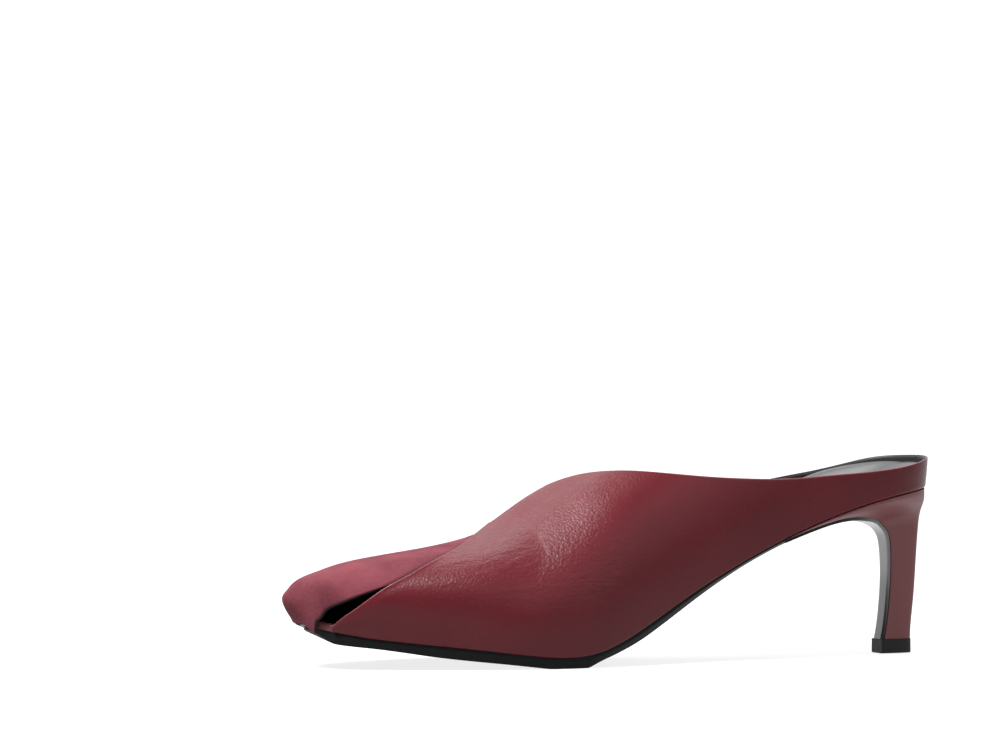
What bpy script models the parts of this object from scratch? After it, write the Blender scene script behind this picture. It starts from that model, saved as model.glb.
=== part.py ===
"""Heeled mule for a left foot: a leather side panel laid over a suede one, on a slim covered heel.

The toe points along -Y, the outer side of the foot is +X, and the floor is at Z = 0.
All curves of the upper come from one last: an outline of the sole, a line along its side and a
ridge, with a rounded section between them at each station from the heel (0) to the toe (1).
"""

import math

import bmesh
import bpy
import numpy as np

MM = 0.001

LENGTH = 245 * MM
BALL_WIDTH = 76 * MM
SEAT_HEIGHT = 60 * MM
INSTEP_HEIGHT = 61 * MM

WALL = 1.8 * MM
GAP = 0.3 * MM
LAP_LIFT = WALL + GAP
LAP_SPREAD = 42
NOSE_DROOP = 1.35 * WALL

# The last, a row per section. Widths and the ridge's place are shares of the ball width, its
# height is a share of the instep height, and its reach beyond the section is a share of the length.
LAST = [
    # station, outer, inner, ridge_across, ridge_height, ridge_reach, roundness
    (0.0166, 0.000, 0.000, 0.000, 0.790, 0.0000, 0.90),
    (0.0215, 0.105, 0.105, 0.000, 0.790, 0.0000, 0.90),
    (0.0380, 0.200, 0.200, 0.000, 0.795, 0.0000, 0.90),
    (0.0700, 0.275, 0.272, 0.000, 0.800, 0.0000, 0.90),
    (0.1150, 0.321, 0.311, 0.000, 0.815, 0.0000, 0.90),
    (0.1700, 0.336, 0.316, -0.005, 0.845, 0.0000, 0.92),
    (0.2400, 0.337, 0.300, -0.020, 0.890, 0.0000, 0.94),
    (0.3200, 0.342, 0.268, -0.035, 0.945, 0.0000, 0.96),
    (0.4000, 0.362, 0.254, -0.045, 0.985, 0.0000, 0.98),
    (0.4800, 0.408, 0.290, -0.050, 1.000, 0.0000, 1.00),
    (0.5500, 0.460, 0.370, -0.055, 0.975, 0.0000, 1.00),
    (0.6200, 0.493, 0.442, -0.055, 0.845, 0.0000, 1.00),
    (0.6800, 0.489, 0.484, -0.055, 0.682, 0.0000, 0.98),
    (0.7400, 0.456, 0.484, -0.050, 0.583, 0.0000, 0.96),
    (0.8000, 0.400, 0.448, -0.045, 0.515, 0.0000, 0.94),
    (0.8600, 0.328, 0.386, -0.040, 0.452, 0.0000, 0.91),
    (0.9050, 0.260, 0.318, -0.035, 0.392, 0.0005, 0.88),
    (0.9380, 0.195, 0.246, -0.030, 0.322, 0.0030, 0.86),
    (0.9580, 0.130, 0.180, -0.028, 0.254, 0.0110, 0.85),
    (0.9680, 0.068, 0.116, -0.026, 0.186, 0.0175, 0.85),
    (0.9725, 0.018, 0.066, -0.026, 0.116, 0.0188, 0.85),
    (0.9740, -0.026, 0.026, -0.026, 0.000, 0.0000, 0.85),
]
TIP = 0.974
HEEL_CENTRE = 0.12
HEEL_BLEND = 0.03
BELLY = 0.28

# Height of the upper's bottom edge, as a share of the seat height.
SOLE_LINE = [
    # station, height
    (0.000, 1.000),
    (0.060, 0.967),
    (0.120, 0.922),
    (0.180, 0.855),
    (0.240, 0.767),
    (0.300, 0.662),
    (0.360, 0.543),
    (0.420, 0.415),
    (0.480, 0.277),
    (0.530, 0.167),
    (0.575, 0.092),
    (0.615, 0.062),
    (0.660, 0.065),
    (0.720, 0.092),
    (0.800, 0.130),
    (0.880, 0.167),
    (0.940, 0.212),
    (0.974, 0.255),
]


def spline(knots, values, at, end_slopes=None):
    """Cubic spline through the values, natural at its ends or with the given slopes there."""
    knots, values = np.asarray(knots, float), np.asarray(values, float)
    at = np.clip(np.asarray(at, float), knots[0], knots[-1])
    step = np.diff(knots)
    slope = np.diff(values) / step
    count = len(knots)
    system, right = np.zeros((count, count)), np.zeros(count)
    for i in range(1, count - 1):
        system[i, i - 1 : i + 2] = step[i - 1], 2 * (step[i - 1] + step[i]), step[i]
        right[i] = 6 * (slope[i] - slope[i - 1])
    if end_slopes is None:
        system[0, 0] = system[-1, -1] = 1
    else:
        system[0, :2] = 2 * step[0], step[0]
        right[0] = 6 * (slope[0] - end_slopes[0])
        system[-1, -2:] = step[-1], 2 * step[-1]
        right[-1] = 6 * (end_slopes[1] - slope[-1])
    bend = np.linalg.solve(system, right)
    i = np.clip(np.searchsorted(knots, at, side="right") - 1, 0, count - 2)
    a, b = knots[i + 1] - at, at - knots[i]
    return (
        bend[i] * a**3 / (6 * step[i])
        + bend[i + 1] * b**3 / (6 * step[i])
        + (values[i] / step[i] - bend[i] * step[i] / 6) * a
        + (values[i + 1] / step[i] - bend[i + 1] * step[i] / 6) * b
    )


def column(table, index):
    return np.array([row[index] for row in table])


def walk_knots():
    """Distance walked round the outline at each row of LAST, as a share of the whole."""
    along = column(LAST, 0) * LENGTH
    across = (column(LAST, 1) + column(LAST, 2)) / 2 * BALL_WIDTH
    walked = np.concatenate([[0], np.cumsum(np.hypot(np.diff(along), np.diff(across)))])
    return walked / walked[-1]


WALK = walk_knots()


def station_at(walk):
    return spline(WALK, column(LAST, 0), walk, (0, 0))


def walk_at(station):
    fine = np.linspace(0, 1, 4001)
    return np.interp(station, station_at(fine), fine)


def last_value(index, walk):
    return spline(WALK, column(LAST, index), walk)


def sole_line(station):
    return spline(column(SOLE_LINE, 0), column(SOLE_LINE, 1), station) * SEAT_HEIGHT


def along(station):
    """Y of a station: the heel's back is at +LENGTH / 2."""
    return LENGTH / 2 - np.asarray(station) * LENGTH


def edge_point(walk, side, inset):
    """Point of the outline on one side, +1 outer and -1 inner, moved in by inset in plan."""

    def plan(w):
        return np.stack(
            [side * last_value(1 if side > 0 else 2, w) * BALL_WIDTH, along(station_at(w))], -1
        )

    walk = np.asarray(walk, float)
    small = 1e-4
    before, after = np.clip(walk - small, 0, 1), np.clip(walk + small, 0, 1)
    tangent = plan(after) - plan(before)
    tangent /= np.linalg.norm(tangent, axis=-1, keepdims=True)
    inward = np.stack([tangent[..., 1], -tangent[..., 0]], -1) * side
    point = plan(walk) + inward * np.asarray(inset)[..., None]
    height = sole_line((LENGTH / 2 - point[..., 1]) / LENGTH)
    return np.concatenate([point, height[..., None]], -1)


def ridge_point(walk, inset):
    def side_view(w):
        s = station_at(w)
        return np.stack(
            [
                along(s) - last_value(5, w) * LENGTH,
                sole_line(s) + last_value(4, w) * INSTEP_HEIGHT,
            ],
            -1,
        )

    walk = np.asarray(walk, float)
    small = 1e-4
    before, after = np.clip(walk - small, 0, 1), np.clip(walk + small, 0, 1)
    tangent = side_view(after) - side_view(before)
    tangent /= np.linalg.norm(tangent, axis=-1, keepdims=True)
    inward = np.stack([-tangent[..., 1], tangent[..., 0]], -1)
    point = side_view(walk) + inward * np.asarray(inset)[..., None]
    across = last_value(3, walk) * BALL_WIDTH
    return np.concatenate([across[..., None], point], -1)


def last_surface(walk, theta, inset=0.0):
    """Point of the last. Theta runs from 0 at the outer edge over the ridge to pi at the inner."""
    walk, theta = np.broadcast_arrays(np.asarray(walk, float), np.asarray(theta, float))
    inset = np.broadcast_to(np.asarray(inset, float), walk.shape)
    outer_side = (theta <= math.pi / 2)[..., None]
    edge = np.where(outer_side, edge_point(walk, 1, inset), edge_point(walk, -1, inset))
    ridge = ridge_point(walk, inset)
    station = station_at(walk)
    ahead = station - HEEL_CENTRE
    held = HEEL_CENTRE + (ahead + np.sqrt(ahead**2 + HEEL_BLEND**2)) / 2
    fade = np.clip((station - 0.3) / 0.2, 0, 1)
    held = held + (station - held) * fade
    centre = np.stack([last_value(3, walk) * BALL_WIDTH, along(held), sole_line(station)], -1)
    foot_y = np.where(station[..., None] > 0.5, edge[..., 1:2], centre[..., 1:2])
    centre = np.concatenate([centre[..., :1], foot_y, centre[..., 2:]], -1)
    ridge = np.concatenate(
        [ridge[..., :1], centre[..., 1:2] + ridge[..., 1:2] - along(station)[..., None], ridge[..., 2:]], -1
    )
    round_ = last_value(6, walk)
    cosine, sine = np.abs(np.cos(theta)), np.sin(theta)
    out = cosine**round_ + BELLY * cosine * sine
    up = np.clip(sine, 0, 1) ** round_
    return centre + (edge - centre) * out[..., None] + (ridge - centre) * up[..., None]


# Free edge of the leather panel: angle over the last, in degrees from the outer edge of the sole.
LEATHER_EDGE = [
    # station, angle
    (0.0166, 11.2),
    (0.057, 10.1),
    (0.085, 9.8),
    (0.111, 10.1),
    (0.152, 11.7),
    (0.196, 14.5),
    (0.275, 20.7),
    (0.347, 29.3),
    (0.415, 40.0),
    (0.465, 50.5),
    (0.500, 59.5),
    (0.540, 72.0),
    (0.575, 84.5),
    (0.605, 92.5),
    (0.640, 94.5),
    (0.680, 90.0),
    (0.720, 80.0),
    (0.760, 68.5),
    (0.806, 57.5),
    (0.850, 45.0),
    (0.880, 36.0),
    (0.905, 26.0),
    (0.925, 16.5),
    (0.938, 8.0),
    (0.943, 3.5),
]

# The same edge on the inner side of the heel, up to the seam.
INNER_RIM = [
    # station, angle
    (0.0166, 11.2),
    (0.050, 11.3),
    (0.090, 10.2),
    (0.138, 10.0),
    (0.170, 11.0),
]
LEATHER_FRONT = 0.943

# Free edge of the suede panel. Forward of its front end it wraps the whole toe.
SUEDE_EDGE = [
    # station, angle
    (0.170, 169.0),
    (0.200, 167.8),
    (0.250, 164.9),
    (0.300, 160.4),
    (0.400, 150.0),
    (0.450, 143.1),
    (0.500, 135.8),
    (0.540, 128.8),
    (0.580, 121.1),
    (0.615, 111.5),
    (0.635, 102.5),
    (0.655, 91.5),
    (0.680, 78.0),
    (0.710, 66.5),
    (0.750, 55.5),
    (0.800, 47.5),
    (0.850, 46.0),
    (0.890, 39.5),
    (0.925, 31.5),
    (0.940, 26.5),
    (0.950, 20.5),
    (0.957, 14.0),
    (0.961, 6.5),
    (0.962, 0.0),
]
SUEDE_FRONT = 0.962
SEAM = 0.170


def smooth(value, low, high):
    """0 below low, 1 above high, smooth between."""
    share = np.clip((np.asarray(value, float) - low) / (high - low), 0, 1)
    return share * share * (3 - 2 * share)


def leather_angle(station, side):
    """Angle of the leather's free edge, measured from the edge of the sole on its own side."""
    outer = spline(column(LEATHER_EDGE, 0), column(LEATHER_EDGE, 1), station)
    inner = spline(column(INNER_RIM, 0), column(INNER_RIM, 1), station)
    return np.radians(np.where(side > 0, outer, inner))


def suede_angle(station):
    angle = spline(column(SUEDE_EDGE, 0), column(SUEDE_EDGE, 1), station)
    return np.radians(np.clip(angle, 0, 180)) * (station < SUEDE_FRONT)


def lap(station, theta):
    """How far the leather stands off the last where it lies over the suede."""
    along_share = smooth(station, 0.52, 0.635) * (1 - 0.75 * smooth(station, 0.865, 0.94))
    under = np.where(station > 0.65, np.degrees(suede_angle(np.minimum(station, 0.85))), 92.0)
    edge = np.degrees(leather_angle(station, 1))
    full = np.minimum(under, edge) - 4
    begin = np.maximum(full - LAP_SPREAD, 0)
    return LAP_LIFT * along_share * smooth(np.degrees(theta), begin, np.maximum(full, begin + 1))


def droop(station, theta):
    """How far the suede hangs below the last's edge on the outer side of the nose."""
    along_share = smooth(station, 0.949, 0.960) * (1 - smooth(station, 0.961, 0.973))
    return NOSE_DROOP * along_share * (1 - smooth(np.degrees(theta), 0, 35))


def mesh_object(name, vertices, faces, colour, roughness):
    mesh = bpy.data.meshes.new(name)
    mesh.from_pydata([tuple(v) for v in vertices], [], faces)
    shape = bmesh.new()
    shape.from_mesh(mesh)
    bmesh.ops.recalc_face_normals(shape, faces=shape.faces[:])
    if shape.calc_volume(signed=True) < 0:
        bmesh.ops.reverse_faces(shape, faces=shape.faces[:])
    shape.to_mesh(mesh)
    shape.free()
    obj = bpy.data.objects.new(name, mesh)
    material = bpy.data.materials.new(name)
    material.use_nodes = True
    shader = material.node_tree.nodes["Principled BSDF"]
    shader.inputs["Base Color"].default_value = (*colour, 1)
    shader.inputs["Roughness"].default_value = roughness
    mesh.materials.append(material)
    return obj


def shell_from_grids(outer, inner):
    """Closed solid between two grids of the same shape. Faces of equal corners are dropped."""
    rows, columns = outer.shape[:2]
    points = np.concatenate([outer.reshape(-1, 3), inner.reshape(-1, 3)])
    keys = {}
    index = np.empty(len(points), int)
    kept = []
    for i, point in enumerate(points):
        key = tuple(np.round(point * 1e6).astype(int))
        if key not in keys:
            keys[key] = len(kept)
            kept.append(point)
        index[i] = keys[key]
    half = rows * columns

    def at(i, j, layer):
        return index[layer * half + i * columns + j]

    faces = []

    def add(*corners):
        ring = [c for k, c in enumerate(corners) if c != corners[k - 1]]
        if len(set(ring)) == len(ring) and len(ring) > 2:
            faces.append(ring)

    for i in range(rows - 1):
        for j in range(columns - 1):
            add(at(i, j, 0), at(i + 1, j, 0), at(i + 1, j + 1, 0), at(i, j + 1, 0))
            add(at(i, j, 1), at(i, j + 1, 1), at(i + 1, j + 1, 1), at(i + 1, j, 1))
        for j, flip in ((0, False), (columns - 1, True)):
            ring = [at(i, j, 0), at(i, j, 1), at(i + 1, j, 1), at(i + 1, j, 0)]
            add(*(ring[::-1] if flip else ring))
    for j in range(columns - 1):
        for i, flip in ((0, True), (rows - 1, False)):
            ring = [at(i, j, 0), at(i, j, 1), at(i, j + 1, 1), at(i, j + 1, 0)]
            add(*(ring[::-1] if flip else ring))
    return kept, faces


def panel_leather():
    """Outer side of the upper, round the heel and on to the seam, lapped over the suede in front."""
    front = walk_at(LEATHER_FRONT)
    outer_walk = front * (1 - np.linspace(0, 1, 58) ** 1.25)
    inner_walk = walk_at(SEAM) * np.linspace(0, 1, 14)[1:]
    walk = np.concatenate([outer_walk, inner_walk])
    side = np.concatenate([np.ones(len(outer_walk)), -np.ones(len(inner_walk))])
    station = station_at(walk)
    theta = leather_angle(station, side)[:, None] * np.linspace(0, 1, 13)
    lift = lap(station[:, None], theta) * (side > 0)[:, None]
    whole = np.where(side[:, None] > 0, theta, math.pi - theta)
    outer = last_surface(walk[:, None], whole, -lift)
    inner = last_surface(walk[:, None], whole, WALL - lift)
    return shell_from_grids(outer, inner)


def panel_suede():
    """Inner side of the upper, over the ridge and round the toe."""
    back = walk_at(SEAM + GAP / LENGTH)
    turn = walk_at(SUEDE_FRONT)
    run = back + (turn - back) * np.sin(np.linspace(0, 1, 45) * math.pi / 2)
    nose = turn + (1 - turn) * np.linspace(0, 1, 12)[1:]
    walk = np.concatenate([run, nose])
    station = station_at(walk)
    first = np.where(walk >= turn - 1e-9, 0.0, suede_angle(np.minimum(station, SUEDE_FRONT - 1e-6)))
    theta = first[:, None] + (math.pi - first[:, None]) * np.linspace(0, 1, 17)
    outer = last_surface(walk[:, None], theta, 0.0)
    inner = last_surface(walk[:, None], theta, WALL)
    hang = droop(station[:, None], theta)
    outer[..., 2] -= hang
    inner[..., 2] -= hang
    outer[-1] = edge_point(1.0, 1, 0.0)
    inner[-1] = edge_point(1.0, 1, WALL)
    return shell_from_grids(outer, inner)


INSOLE_THICK = 3.2 * MM
INSOLE_ROUND = 0.9 * MM
BLUNT_WIDTH = 4 * MM
SEAT_CENTRE = 5.0 * MM
SEAT_RIM = 8.8 * MM
SEAT_DISH = 15 * MM
SOLE_INSET = 0.6 * MM
LIP_STATION = 0.276
FLAP_THICK = 0.9 * MM
FLAP_INSET = 0.5 * MM
TOP_PIECE_THICK = 4.8 * MM
TOP_PIECE_BEVEL = 0.4 * MM

# Thickness of the outsole, as a share of the wall.
SOLE_THICKNESS = [
    # station, thickness
    (0.270, 0.88),
    (0.340, 0.90),
    (0.420, 1.40),
    (0.480, 1.68),
    (0.527, 1.62),
    (0.560, 1.42),
    (0.585, 1.62),
    (0.604, 2.20),
    (0.635, 2.15),
    (0.700, 1.85),
    (0.790, 1.95),
    (0.830, 1.80),
    (0.865, 1.60),
    (0.900, 1.62),
    (0.930, 1.90),
    (0.942, 1.88),
    (0.952, 1.45),
    (0.960, 1.00),
    (0.974, 0.45),
]
INNER_THINNING = 0.75
SOLE_TIP_INSET = 3.2 * MM

# The heel in levels from the floor up. Heights are shares of the seat height, the half width is a
# share of the ball width, and fullness blends a plain D shape into the outline of the seat.
HEEL = [
    # level, back_station, back_height, front_station, front_height, half_width, fullness
    (0.00, 0.0295, 0.085, 0.0770, 0.085, 0.047, 0.00),
    (0.12, 0.0285, 0.170, 0.0730, 0.170, 0.047, 0.00),
    (0.27, 0.0242, 0.333, 0.0685, 0.333, 0.048, 0.00),
    (0.42, 0.0212, 0.500, 0.0665, 0.500, 0.051, 0.00),
    (0.55, 0.0190, 0.640, 0.0680, 0.640, 0.056, 0.00),
    (0.66, 0.0172, 0.735, 0.0740, 0.725, 0.062, 0.00),
    (0.75, 0.0154, 0.810, 0.0890, 0.780, 0.078, 0.05),
    (0.84, 0.0144, 0.870, 0.1210, 0.810, 0.150, 0.25),
    (0.92, 0.0157, 0.915, 0.1850, 0.802, 0.255, 0.60),
    (1.00, 0.0172, 0.960, 0.2760, 0.700, 0.330, 1.00),
]
HEEL_CORNER = 2.5


def heel_value(index, level):
    return spline(column(HEEL, 0), column(HEEL, index), level)


def heel_height(index, level):
    """Height of the heel's back or front line, its lowest level held just above the top piece."""
    rise = TOP_PIECE_THICK + GAP - HEEL[0][index] * SEAT_HEIGHT
    return heel_value(index, level) * SEAT_HEIGHT + rise * (1 - smooth(level, 0, 0.6))


def breast_line(level):
    """Front line of the heel in side view, from the floor to the tip of its lip."""
    return np.stack([along(heel_value(3, level)), heel_height(4, level)], -1)


def lip_width(side):
    """Half width of the heel's top at the tip of its lip."""
    return last_value(1 if side > 0 else 2, walk_at(LIP_STATION)) * BALL_WIDTH - GAP


def front_width(level, side):
    """Half width of the heel's front at a level."""
    plain = heel_value(5, level) * BALL_WIDTH
    full = lip_width(side) * plain / (heel_value(5, 1.0) * BALL_WIDTH)
    return plain + (full - plain) * heel_value(6, level)


def heel_ring(level, count=15):
    walk = walk_at(LIP_STATION) * (1 - np.linspace(0, 1, count))
    angle = np.linspace(0, 1, count) * math.pi / 2
    front, back = breast_line(level), np.array([along(heel_value(1, level)), heel_height(2, level)])
    seat_back = along(heel_value(1, 1.0))
    seat_front = along(LIP_STATION)
    full = float(heel_value(6, level))
    sides = []
    for side in (1, -1):
        seat = edge_point(walk, side, GAP)
        share = np.sin(angle) ** (2 / HEEL_CORNER)
        plain_x = heel_value(5, level) * BALL_WIDTH * np.cos(angle) ** (2 / HEEL_CORNER)
        seat_x = seat[:, 0] * side * front_width(level, side) / lip_width(side)
        seat_share = (seat[:, 1] - seat_front) / (seat_back - seat_front)
        share = share + (seat_share - share) * full
        x = plain_x + (seat_x - plain_x) * full
        y = front[0] + (back[0] - front[0]) * share
        z = front[1] + (back[1] - front[1]) * share
        station = (LENGTH / 2 - y) / LENGTH
        low, high = sole_line(LIP_STATION), sole_line(heel_value(1, 1.0))
        bow = sole_line(station) - low - (high - low) * (y - seat_front) / (seat_back - seat_front)
        z = z + (bow - bow[0] * (1 - share)) * full
        sides.append(np.stack([side * x, y, z], -1))
    return np.concatenate([sides[0], sides[1][-2::-1]])


def heel_block():
    rings = [heel_ring(level) for level in np.linspace(0, 1, 23)]
    top = rings[-1].copy()
    top[:, 2] = sole_line((LENGTH / 2 - top[:, 1]) / LENGTH) - GAP
    rings.append(top)
    return loft(rings)


def loft(rings):
    """Closed solid through rings of equal count, its ends filled by strips from side to side."""
    count = len(rings[0])
    vertices = np.concatenate(rings)
    faces = []
    for i in range(len(rings) - 1):
        for j in range(count):
            k = (j + 1) % count
            faces.append([i * count + j, i * count + k, (i + 1) * count + k, (i + 1) * count + j])
    for base, flip in ((0, True), ((len(rings) - 1) * count, False)):
        for j in range(count // 2):
            ring = [base + j, base + j + 1, base + count - 2 - j, base + count - 1 - j]
            ring = [c for k, c in enumerate(ring) if c != ring[k - 1]]
            faces.append(ring[::-1] if flip else ring)
    return vertices, faces


def top_piece():
    ring = heel_ring(0.0)
    front = ring[:, 1].min()
    back = ring[:, 1].max()
    rings = []
    flap = FLAP_THICK + GAP
    for height, grow in ((0, TOP_PIECE_BEVEL / 4), (TOP_PIECE_BEVEL, TOP_PIECE_BEVEL), (TOP_PIECE_THICK, TOP_PIECE_BEVEL)):
        level = ring.copy()
        share = (ring[:, 1] - front) / (back - front)
        level[:, 0] *= 1 + grow / ring[:, 0].max()
        level[:, 1] = front - flap + share * (back - front + flap + grow / 2)
        level[:, 2] = height
        rings.append(level)
    return loft(rings)


def sole_inset(walk):
    return SOLE_INSET + SOLE_TIP_INSET * smooth(station_at(walk), 0.925, TIP)


def blunt_end(inset_at):
    """Walk at which an inset outline has narrowed to its blunt end at the toe."""
    walk = np.linspace(0.9, 1, 1001)
    width = edge_point(walk, 1, inset_at(walk))[:, 0] - edge_point(walk, -1, inset_at(walk))[:, 0]
    return walk[np.nonzero(width > BLUNT_WIDTH)[0][-1]]


def outsole():
    """Tread and waist, then on under the heel's lip and down its breast."""
    end = blunt_end(sole_inset)
    walk = end - (end - walk_at(LIP_STATION + GAP / LENGTH)) * np.linspace(0, 1, 52)
    station = station_at(walk)
    outer, inner = edge_point(walk, 1, sole_inset(walk)), edge_point(walk, -1, sole_inset(walk))
    height = (outer[:, 2] + inner[:, 2]) / 2 - GAP
    slope = np.gradient(height, along(station))
    length = np.sqrt(1 + slope**2)
    thick = spline(column(SOLE_THICKNESS, 0), column(SOLE_THICKNESS, 1), station) * WALL
    inner_thick = np.maximum(thick * (1 - INNER_THINNING * smooth(station, 0.875, 0.935)), 0.4 * WALL)
    rows = []
    for i in range(len(walk)):
        down = np.array([0, slope[i], -1.0]) / length[i]
        top = [np.array([inner[i, 0], inner[i, 1], height[i]]), np.array([outer[i, 0], outer[i, 1], height[i]])]
        low = [top[0] + down * inner_thick[i], top[1] + down * thick[i]]
        for p in low:
            p[2] = max(p[2], 0.0)
        rows.append((top, low))
    level = 1 - np.linspace(0, 1, 34)
    line = breast_line(level)
    tangent = np.gradient(line, axis=0)
    tangent /= np.linalg.norm(tangent, axis=1, keepdims=True)
    out = np.stack([-tangent[:, 1], tangent[:, 0]], -1)
    if out[-1, 0] > 0:
        out = -out
    for i in range(len(level)):
        widths = front_width(level[i], 1) - FLAP_INSET, front_width(level[i], -1) - FLAP_INSET
        near = line[i] + out[i] * GAP
        far = line[i] + out[i] * (GAP + FLAP_THICK)
        if i == len(level) - 1:
            near[1] = far[1] = TOP_PIECE_THICK + GAP
        rows.append(
            (
                [np.array([-widths[1], *near]), np.array([widths[0], *near])],
                [np.array([-widths[1], *far]), np.array([widths[0], *far])],
            )
        )
    top = np.array([r[0] for r in rows])
    low = np.array([r[1] for r in rows])
    share = np.linspace(0, 1, 5)[None, :, None]
    top = top[:, :1] + (top[:, 1:] - top[:, :1]) * share
    low = low[:, :1] + (low[:, 1:] - low[:, :1]) * share
    return shell_from_grids(top, low)


def insole_inset(walk):
    return np.full(np.shape(walk), WALL + 2 * GAP)


def insole_thickness(station, rim_distance):
    """Thickness of the insole: even in front, thicker and dished in the seat of the heel."""
    seat = SEAT_CENTRE + (SEAT_RIM - SEAT_CENTRE) * (1 - smooth(rim_distance, 0, SEAT_DISH))
    return seat + (INSOLE_THICK - seat) * smooth(station, 0.15, 0.33)


def insole():
    """Board inside the upper, dished under the heel of the foot, its top edge rounded."""
    walk = blunt_end(insole_inset) * (1 - np.cos(np.linspace(0, 1, 56) ** 0.9 * math.pi)) / 2
    outer, inner = edge_point(walk, 1, insole_inset(walk)), edge_point(walk, -1, insole_inset(walk))
    height = (outer[:, 2] + inner[:, 2]) / 2
    width = outer[:, 0] - inner[:, 0]
    edge = np.minimum(INSOLE_ROUND / np.maximum(width, INSOLE_ROUND), 0.1)
    even = 0 * edge
    across = np.stack(
        [even, edge, even + 0.18, even + 0.34, even + 0.5, even + 0.66, even + 0.82, 1 - edge, even + 1], -1
    )
    plan = inner[:, None] + (outer - inner)[:, None] * across[..., None]
    sides = np.minimum(across, 1 - across) * width[:, None]
    rim_distance = np.minimum(sides, plan[0, 0, 1] - plan[..., 1])
    drop = INSOLE_ROUND * (1 - smooth(rim_distance, 0, INSOLE_ROUND))
    bottom, top = plan.copy(), plan.copy()
    bottom[..., 2] = height[:, None]
    top[..., 2] = height[:, None] + insole_thickness(station_at(walk)[:, None], rim_distance) - drop
    return shell_from_grids(top, bottom)


# Middle of the shoe's footprint on the axes of the last.
FOOTPRINT_CENTRE = np.array([0.387, -0.305, 0.0]) * MM

PARTS = [
    # name, builder, colour, roughness
    ("leather_panel", panel_leather, (0.10, 0.018, 0.024), 0.35),
    ("suede_panel", panel_suede, (0.20, 0.04, 0.055), 0.9),
    ("insole", insole, (0.02, 0.02, 0.02), 0.5),
    ("outsole", outsole, (0.015, 0.015, 0.015), 0.4),
    ("heel", heel_block, (0.10, 0.018, 0.024), 0.35),
    ("top_piece", top_piece, (0.012, 0.012, 0.012), 0.5),
]


def main():
    for obj in list(bpy.data.objects):
        bpy.data.objects.remove(obj, do_unlink=True)
    shoe = bpy.data.collections.new("heeled_mule")
    bpy.context.scene.collection.children.link(shoe)
    for name, builder, colour, roughness in PARTS:
        vertices, faces = builder()
        vertices = np.asarray(vertices) - FOOTPRINT_CENTRE
        shoe.objects.link(mesh_object(name, vertices, faces, colour, roughness))


main()
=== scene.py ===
import math

import bmesh
import bpy
import numpy as np
from bpy.props import FloatProperty, FloatVectorProperty, PointerProperty
from mathutils import Matrix, Vector


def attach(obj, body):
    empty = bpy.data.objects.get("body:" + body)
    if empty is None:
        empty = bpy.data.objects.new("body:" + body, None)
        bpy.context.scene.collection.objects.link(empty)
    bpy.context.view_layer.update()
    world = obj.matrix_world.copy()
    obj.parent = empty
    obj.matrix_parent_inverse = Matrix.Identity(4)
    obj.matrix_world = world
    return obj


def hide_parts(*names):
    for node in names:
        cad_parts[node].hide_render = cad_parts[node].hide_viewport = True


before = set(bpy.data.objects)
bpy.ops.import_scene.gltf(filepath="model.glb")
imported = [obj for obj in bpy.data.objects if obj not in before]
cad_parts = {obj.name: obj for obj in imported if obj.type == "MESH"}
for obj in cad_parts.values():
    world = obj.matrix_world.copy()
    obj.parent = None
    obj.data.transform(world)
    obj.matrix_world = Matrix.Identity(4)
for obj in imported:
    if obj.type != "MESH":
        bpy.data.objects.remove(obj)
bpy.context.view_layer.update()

bl_info = {
    "name": "Heeled mule",
    "version": (1, 0, 0),
    "blender": (4, 5, 0),
    "location": "View3D > Sidebar > Mule",
    "description": "Dresses a heeled mule: a leather side lapped over a suede one, on a slim covered heel",
    "category": "Add Mesh",
}

MM = 0.001

# The last, a row per section. Widths and the ridge's place are shares of the ball width, its
# height is a share of the instep height, and its reach beyond the section is a share of the length.
LAST = [
    # station, outer, inner, ridge_across, ridge_height, ridge_reach, roundness
    (0.0166, 0.000, 0.000, 0.000, 0.790, 0.0000, 0.90),
    (0.0215, 0.105, 0.105, 0.000, 0.790, 0.0000, 0.90),
    (0.0380, 0.200, 0.200, 0.000, 0.795, 0.0000, 0.90),
    (0.0700, 0.275, 0.272, 0.000, 0.800, 0.0000, 0.90),
    (0.1150, 0.321, 0.311, 0.000, 0.815, 0.0000, 0.90),
    (0.1700, 0.336, 0.316, -0.005, 0.845, 0.0000, 0.92),
    (0.2400, 0.337, 0.300, -0.020, 0.890, 0.0000, 0.94),
    (0.3200, 0.342, 0.268, -0.035, 0.945, 0.0000, 0.96),
    (0.4000, 0.362, 0.254, -0.045, 0.985, 0.0000, 0.98),
    (0.4800, 0.408, 0.290, -0.050, 1.000, 0.0000, 1.00),
    (0.5500, 0.460, 0.370, -0.055, 0.975, 0.0000, 1.00),
    (0.6200, 0.493, 0.442, -0.055, 0.845, 0.0000, 1.00),
    (0.6800, 0.489, 0.484, -0.055, 0.682, 0.0000, 0.98),
    (0.7400, 0.456, 0.484, -0.050, 0.583, 0.0000, 0.96),
    (0.8000, 0.400, 0.448, -0.045, 0.515, 0.0000, 0.94),
    (0.8600, 0.328, 0.386, -0.040, 0.452, 0.0000, 0.91),
    (0.9050, 0.260, 0.318, -0.035, 0.392, 0.0005, 0.88),
    (0.9380, 0.195, 0.246, -0.030, 0.322, 0.0030, 0.86),
    (0.9580, 0.130, 0.180, -0.028, 0.254, 0.0110, 0.85),
    (0.9680, 0.068, 0.116, -0.026, 0.186, 0.0175, 0.85),
    (0.9725, 0.018, 0.066, -0.026, 0.116, 0.0188, 0.85),
    (0.9740, -0.026, 0.026, -0.026, 0.000, 0.0000, 0.85),
]

# Station of the last's tip. Behind HEEL_CENTRE the sections turn about one line, blended in over
# HEEL_BLEND. BELLY is how far the sides swell beyond a plain arch.
TIP = 0.974
HEEL_CENTRE = 0.12
HEEL_BLEND = 0.03
BELLY = 0.28

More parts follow.
